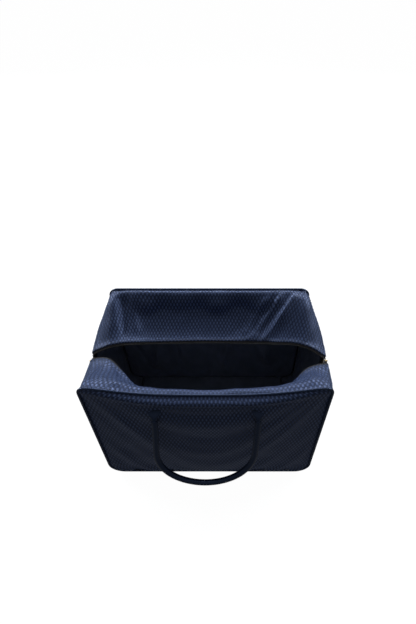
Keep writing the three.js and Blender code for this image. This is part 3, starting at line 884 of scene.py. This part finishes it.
def piping_path(side):
    """The whole line of the piping around one panel, as a closed loop."""
    low_radius = BOTTOM_CORNER - RIM_LOW
    top_radius = TOP_CORNER - PIPING_RADIUS
    top_x = HALF_WIDTH - TOP_CORNER
    top_z = HEIGHT - TOP_CORNER
    turn = np.linspace(0, math.pi / 2, 12)
    right = [(0, RIM_LOW), (FLAT_HALF, RIM_LOW)]
    right += [(FLAT_HALF + low_radius * math.sin(a), BOTTOM_CORNER - low_radius * math.cos(a)) for a in turn]
    inwards, up = corner_point(np.linspace(0, 1, 16), top_radius, side)
    right += list(zip(RIM_X - inwards, top_z + up))
    right += [(x, RIM_HIGH) for x in np.linspace(top_x, 0, 60)[1:]]
    left = [(-x, z) for x, z in right[-2:0:-1]]
    outline = np.array(right + left)
    return settled(outline[:, 0], side * RIM_Y, outline[:, 1])


def make_piping(name, side):
    path = resampled(piping_path(side), 3.5 * MM)
    lateral, normal = path_frames(path, np.array([0.0, -side, 0.0]), closed=True)
    angles = round_angles(12)[None, :, None]
    beat = 1 + 0.03 * np.sin(lengths_along(path, 0) * 900)
    ring = normal[:, None] * np.cos(angles) + lateral[:, None] * np.sin(angles)
    sections = path[:, None] + ring * (PIPING_RADIUS * beat)[:, None, None]
    trim = tube_mesh(f"{name}_piping_trim", path, sections, closed=True)
    on_shell(trim, PIPING_LEATHER)
    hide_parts(f"{name}_piping")


def make_side(name, side):
    flat = (2 * RIM_Y, math.pi / 2 * BOTTOM_CORNER + ZIP_END - BOTTOM_CORNER)
    us = evenly(0, 1, CLOTH_STEP, flat[0])
    vs = evenly(0, 1, CLOTH_STEP, flat[1])
    cloth, _, _, rippled = cloth_sheet(f"{name}_side_cloth", side_face(side, RIM_Y - 0.8 * MM), us, vs, side,
                                       waves=0.6 * MM, seed=20 + side)
    moved = settle(cloth, seam_weights(len(us), len(vs)), SEAM_GROWTH, 4 * MM)
    drape = Drape(us, vs, rippled + moved.reshape(rippled.shape))
    sheet_on_shell(cloth, JACQUARD, f"{name}_side")

    back = drape.over(side_face(side, RIM_Y - 3 * MM))
    lining = cloth_sheet(f"{name}_side_lining_cloth", back, us, vs, side, LINING, LINING_INSET + 0.6 * MM)[0]
    sheet_on_shell(lining, LINING_CLOTH, f"{name}_side_lining")


def make_base():
    flat = (2 * FLAT_HALF, 2 * RIM_Y)
    us = evenly(0, 1, BASE_STEP, flat[0])
    vs = evenly(0, 1, BASE_STEP, flat[1])
    under = cloth_sheet("base_cloth", base_face(FLAT_HALF, RIM_Y - 0.8 * MM, 0.0), us, vs, -1)[0]
    sheet_on_shell(under, JACQUARD, "base")

    face = base_face(FLAT_HALF - 2 * MM, RIM_Y - 3 * MM, BASE_LINING_LOW + LINING + 0.8 * MM)
    lining = cloth_sheet("base_lining_cloth", face, us, vs, 1, LINING, waves=0.8 * MM, wave_size=80 * MM,
                         seed=41)[0]
    sheet_on_shell(lining, LINING_CLOTH, "base_lining")


# ================ zip panels
def turn_with_flap(piece, panel, along, across):
    """Bakes the piece's placement into its points, and works out each point's weight for turning with the
    flap, 0 at the rim and ends and 1 past the fold in the middle; nothing uses these weights.
    """
    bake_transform(piece)
    weights = panel.turning(np.ravel(along), np.ravel(across)).astype(np.float32)


def zip_layer(panel, suffix, first, last, rows, inset, thickness, waves=0.0, seed=1, folds=None):
    """One layer of a zip panel between two rows, each given as a function of the position along it."""
    us = evenly(ZIP_MARGIN, 1 - ZIP_MARGIN, ZIP_CLOTH_STEP, 2 * RIM_HALF)
    vs = np.linspace(0, 1, rows)
    def surface(u, v):
        return panel.point(u, lerp(first(u), last(u), v))
    piece, u, v, rippled = cloth_sheet(f"{panel.name}_zip_{suffix}", surface, us, vs, -panel.side, thickness,
                                       inset, waves, 50 * MM, seed, folds)
    return piece, u, lerp(first(u), last(u), v), rippled


def every_part(panel, suffix):
    """The CAD nodes of one layer of a zip panel."""
    nodes = [f"{panel.name}_{part}{suffix}" for part in ("left_corner", "right_corner", "flap")]
    if panel.side < 0 and suffix in ("", "_lining"):
        nodes.append(f"front_fold{suffix}")
    return nodes


# Folds of the two zip panels: x at the rim, x at the zip line, height, width, and where each starts and ends
FRONT_FOLDS = [(-150, -185, 3, 12, 0.1, 1.0), (-196, -216, -3, 10, 0.0, 1.0), (185, 200, 2.5, 10, 0.1, 1.0),
               (60, 40, 2, 16, 0.0, 0.5), (-40, -60, 1.5, 14, 0.0, 0.5)]
REAR_FOLDS = [(146, 62, 10, 7, 0.12, 1.0), (172, 88, 11, 7, 0.1, 1.1), (204, 116, 11, 7, 0.1, 1.1),
              (-190, -176, -7, 8, 0.1, 1.0), (-172, -146, 8, 9, 0.1, 0.9), (-30, -84, 5, 14, 0.1, 0.8)]


def rear_folds(points, v):
    """The diagonal folds, and the hollow in which the slack middle of the rear panel hangs below its rim."""
    x = points[..., 0] / MM
    middle = 1 - smooth(np.abs(x + 20), 120, 190)
    shelf = 9 * MM * np.exp(-((v - 0.10) / 0.09) ** 2)
    brink = 0.15 + 0.07 * np.sin(x / 13) + 0.05 * np.sin(x / 21 + 1)
    hollow = 20 * MM * smooth(v, brink, brink + 0.31) * (1 - smooth(v, 0.5, 1.05))
    return creases_on(points, v, REAR_FOLDS) + shelf * (1 - smooth(np.abs(x), 170, 215)) - hollow * middle


def hang(piece, panel, nodes, along, across):
    """Hides the CAD nodes that one layer of a zip panel replaces, and bakes the layer's placement into its
    points.
    """
    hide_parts(*every_part(panel, nodes))
    turn_with_flap(piece, panel, along, across)


def make_zip_cover(panel, shown):
    """The outer cloth, and the drape that every other layer of the zip panel follows."""
    folds = partial(creases_on, creases=FRONT_FOLDS) if panel.side < 0 else rear_folds
    cover, u, v, rippled = zip_layer(panel, "cloth", lambda along: COVER_START * shown(along), shown,
                                     ZIP_CLOTH_ROWS, 0.0, SKIN, 0.8 * MM, 50, folds)
    moved = settle(cover, seam_weights(*u.shape), ZIP_PANEL_GROWTH, 5 * MM)
    panel.drape = Drape(u[:, 0], (v / shown(u))[0], rippled + moved.reshape(rippled.shape))
    finish(cover, JACQUARD)
    hang(cover, panel, "", u, v)


def make_zip_lining(panel, seam):
    lining, u, v, _ = zip_layer(panel, "lining_cloth", partial(np.full_like, fill_value=LINING_START), seam,
                                ZIP_CLOTH_ROWS, LINING_INSET + 2.6 * MM, LINING)
    finish(lining, LINING_CLOTH)
    hang(lining, panel, "_lining", u, v)


def make_zip_tape(panel, seam):
    tape, u, v, _ = zip_layer(panel, "tape_strip", seam, panel.row_before(1.2 * MM), ZIP_TAPE_ROWS,
                              LINING_INSET, TAPE)
    finish(tape, ZIP_CLOTH)
    hang(tape, panel, "_zip_tape", u, v)


def make_zip_panel(panel):
    seam = panel.row_before(TAPE_WIDTH)
    make_zip_cover(panel, panel.row_before(TAPE_SHOWN))
    make_zip_lining(panel, seam)
    make_zip_tape(panel, seam)
    make_coil(panel)
    make_topstitch(panel, "topstitch_outer", panel.row_before(TAPE_SHOWN + 2 * MM))
    make_topstitch(panel, "topstitch_inner", panel.row_before(TAPE_SHOWN + 5.5 * MM))
    make_topstitch(panel, "rim_stitch", panel.row_after(5 * MM))


def line_on(panel, row, spacing, ends=0.002):
    """Evenly spaced positions along one row of a zip panel."""
    fine = np.linspace(ends, 1 - ends, 1500)
    points = panel.point(fine, row(fine))
    travelled = lengths_along(points, 0)
    count = int(travelled[-1] / spacing)
    return np.interp((np.arange(count) + 0.5) * travelled[-1] / count, travelled, fine)


def make_topstitch(panel, suffix, row):
    along = line_on(panel, row, 3.6 * MM)
    across = row(along)
    centres = panel.point(along, across)
    normals = panel.normal(along, across)
    tangents = unit(np.gradient(centres, axis=0))
    stitches = stitch_row(f"{panel.name}_{suffix}", centres + normals * 0.1 * MM, tangents, normals)
    finish(stitches, THREAD)
    per_stitch = len(stitches.data.vertices) // len(along)
    turn_with_flap(stitches, panel, np.repeat(along, per_stitch), np.repeat(across, per_stitch))


def make_coil(panel):
    """One half's coil: a flattened helix of nylon wire along the zip line."""
    pitch = 1.7 * MM
    steps_per_turn = 8
    sides = 5
    wire = 0.34 * MM
    half_width = 0.85 * MM
    half_thickness = 0.75 * MM
    along = line_on(panel, np.ones_like, pitch / steps_per_turn, COIL_START)
    centre = panel.point(along, 1.0)
    normal = panel.normal(along, np.full_like(along, 0.995))
    tangent = unit(np.gradient(centre, axis=0))
    lateral = np.cross(tangent, normal)
    phase = (np.arange(len(along)) * 2 * math.pi / steps_per_turn)[:, None]
    path = (centre - normal * (LINING_INSET + TAPE / 2) + lateral * (half_width * np.cos(phase))
            + normal * (half_thickness * np.sin(phase)))
    wire_side, wire_normal = path_frames(path, tangent)
    angles = round_angles(sides)[None, :, None]
    ring = wire_side[:, None] * np.cos(angles) + wire_normal[:, None] * np.sin(angles)
    coil = tube_mesh(f"{panel.name}_zip_teeth", path, path[:, None] + ring * wire)
    finish(coil, ZIP_NYLON)
    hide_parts(*every_part(panel, "_zip_coil"))
    turn_with_flap(coil, panel, np.repeat(along, sides), np.ones(len(along) * sides))


# ================ handles
def handle_path(side):
    """The middle line of one handle from the top of its left tab to the top of its right tab, with the
    half widths and half thicknesses of its section, and the direction it faces."""
    drop = np.linspace(0, HANDLE_LEG, 24)
    bow_angles = np.linspace(0, math.pi, 70)[1:-1]
    legs = [(-HANDLE_HALF_SPAN, d) for d in drop]
    bow = [(-HANDLE_HALF_SPAN * math.cos(a), HANDLE_LEG + HANDLE_BOW * math.sin(a)) for a in bow_angles]
    far = [(HANDLE_HALF_SPAN, d) for d in drop[::-1]]
    flat = np.array(legs + bow + far)
    lean = np.array([0, side * math.sin(HANDLE_LEAN), -math.cos(HANDLE_LEAN)])
    pivot = np.array([0, side * HANDLE_PIVOT_Y, HANDLE_PIVOT_Z])
    askew = HANDLE_ASKEW * smooth(flat[:, 1:], 0, HANDLE_LEG + HANDLE_BOW)
    swung = pivot + (flat[:, :1] - askew) * np.array([1.0, 0, 0]) + flat[:, 1:] * lean
    facing = np.array([0, side * math.cos(HANDLE_LEAN), math.sin(HANDLE_LEAN)])
    heights = np.linspace(TAB_HIGH, HANDLE_PIVOT_Z + 2 * MM, 12)
    below = TAB_HIGH - heights
    tab = settled(-HANDLE_HALF_SPAN, side * (RIM_Y + SKIN / 2), heights)
    reach = smooth(below, 0, TAB_HIGH - HANDLE_PIVOT_Z)
    tab[:, 1] = lerp(tab[:, 1] + side * 4.6 * MM, side * HANDLE_PIVOT_Y, reach)
    path = np.vstack([tab, swung, tab[::-1] * [-1, 1, 1]])
    tab_widths = lerp(TAB_HALF_WIDTH, HANDLE_RADIUS, smooth(below, 0, 25 * MM))
    tab_thicknesses = lerp(TAB_THICKNESS, HANDLE_RADIUS, smooth(below, 3 * MM, 24 * MM))
    roll = np.full(len(swung), HANDLE_RADIUS)
    widths = np.concatenate([tab_widths, roll, tab_widths[::-1]])
    thicknesses = np.concatenate([tab_thicknesses, roll, tab_thicknesses[::-1]])
    tab_facing = np.tile([0.0, side, 0.0], (len(tab), 1))
    facings = np.vstack([tab_facing, np.tile(facing, (len(swung), 1)), tab_facing])
    return path, widths, thicknesses, facings


def make_handle(name, side):
    path, widths, thicknesses, facings = handle_path(side)
    lateral, normal = path_frames(path, facings)
    angles = round_angles(20)
    flatness = np.clip(widths / thicknesses - 1, 0, 1)[:, None]
    power = lerp(1.0, 0.45, flatness)
    across = np.sign(np.cos(angles)) * np.abs(np.cos(angles)) ** power * widths[:, None]
    out = np.sign(np.sin(angles)) * np.abs(np.sin(angles)) ** power * thicknesses[:, None]
    groove = 0.9 * MM * np.exp(-((angles - math.radians(60)) / 0.16) ** 2)
    scale = 1 - groove[None, :] / np.maximum(widths[:, None], HANDLE_RADIUS)
    sections = (path[:, None] + lateral[:, None] * (across * scale)[..., None]
                + normal[:, None] * (out * scale)[..., None])
    handle = tube_mesh(f"{name}_handle_leather", path, sections)
    smoothing = handle.modifiers.new("smoothing", "SUBSURF")
    smoothing.levels = smoothing.render_levels = 1
    finish(handle, LEATHER)
    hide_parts(*(f"{name}_handle{part}" for part in ("", "_core", "_left_tab", "_right_tab")))
    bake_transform(handle)


# ================ carried-over nodes
def finish_carried_over():
    for name in ("left_slider", "right_slider", "left_pull", "right_pull", "left_zip_stop", "right_zip_stop"):
        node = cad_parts[name]
        dress(node, BRASS)
        bevel = node.modifiers.new("worn edges", "BEVEL")
        bevel.width = 0.25 * MM
        bevel.segments = 2
        bevel.limit_method = "ANGLE"
    dress(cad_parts["base_board"], FIBREBOARD)


# ================ studio
CAMERA_RIGHT = 31.6 * MM
CAMERA_DISTANCE = 527.6 * MM
CAMERA_HEIGHT = 872.9 * MM
CAMERA_PITCH = math.radians(43.42)
CAMERA_LENS = 22.43
CAMERA_SHIFT = -0.0248
SOFTBOX_COLOUR = (0.84, 0.91, 1.0)
DOME_COLOUR = (0.96, 0.98, 1.0, 1)
BAG_MIDDLE = (0, 0, 0.25)
FLOOR_REACH = 30.0


def make_camera():
    data = bpy.data.cameras.new("camera")
    data.lens = CAMERA_LENS
    data.sensor_width = 36
    data.clip_start = 0.01
    data.shift_x = CAMERA_SHIFT
    camera = add_object("camera", data)
    camera.location = (CAMERA_RIGHT, -CAMERA_DISTANCE, CAMERA_HEIGHT)
    camera.rotation_euler = (math.pi / 2 - CAMERA_PITCH, 0, 0)
    bpy.context.scene.camera = camera


def make_softbox(name, location, target, size, radiance):
    light = bpy.data.lights.new(name, "AREA")
    light.color = SOFTBOX_COLOUR
    light.shape = "RECTANGLE"
    light.size, light.size_y = size
    light.energy = radiance * math.pi * size[0] * size[1]
    lamp = add_object(name, light)
    lamp.location = location
    lamp.rotation_euler = (Vector(target) - Vector(location)).to_track_quat("-Z", "Y").to_euler()
    lamp.visible_camera = False


def make_floor():
    mesh = bpy.data.meshes.new("floor")
    corners = [(-1, -1), (1, -1), (1, 1), (-1, 1)]
    mesh.from_pydata([(x * FLOOR_REACH, y * FLOOR_REACH, 0) for x, y in corners], [], [(0, 1, 2, 3)])
    mesh.materials.append(floor_paint())
    floor = add_object("floor", mesh)
    floor.visible_diffuse = False
    floor.visible_glossy = False
    floor.visible_shadow = False


def make_world():
    """A dim dome, brighter overhead."""
    world = bpy.data.worlds.new("studio")
    world.use_nodes = True
    tree = world.node_tree
    tree.nodes["Background"].inputs["Color"].default_value = DOME_COLOUR
    direction = tree.nodes.new("ShaderNodeTexCoord")
    split = tree.nodes.new("ShaderNodeSeparateXYZ")
    dome = range_node(tree, -0.1, 0.9, 0.11, 0.22)
    tree.links.new(direction.outputs["Generated"], split.inputs[0])
    tree.links.new(split.outputs["Z"], dome.inputs["Value"])
    tree.links.new(dome.outputs["Result"], tree.nodes["Background"].inputs["Strength"])
    bpy.context.scene.world = world
    bpy.context.scene.view_settings.view_transform = "Standard"


make_camera()
make_world()
make_floor()
make_softbox("back softbox", (0, 2.5, 1.9), BAG_MIDDLE, (3.4, 1.2), 5.6)
make_softbox("left softbox", (-2.2, 1.3, 1.4), BAG_MIDDLE, (1.2, 1.2), 7.6)
make_softbox("right softbox", (2.2, 1.3, 1.4), BAG_MIDDLE, (1.2, 1.2), 8.0)
make_softbox("top softbox", (0, 0.2, 2.6), (0, 0, 0.2), (1.4, 1.0), 0.6)
make_panel("front", -1)
make_panel("rear", 1)
make_piping("front", -1)
make_piping("rear", 1)
make_side("left", -1)
make_side("right", 1)
make_base()
make_zip_panel(FRONT_ZIP)
make_zip_panel(REAR_ZIP)
make_handle("front", -1)
make_handle("rear", 1)
finish_carried_over()
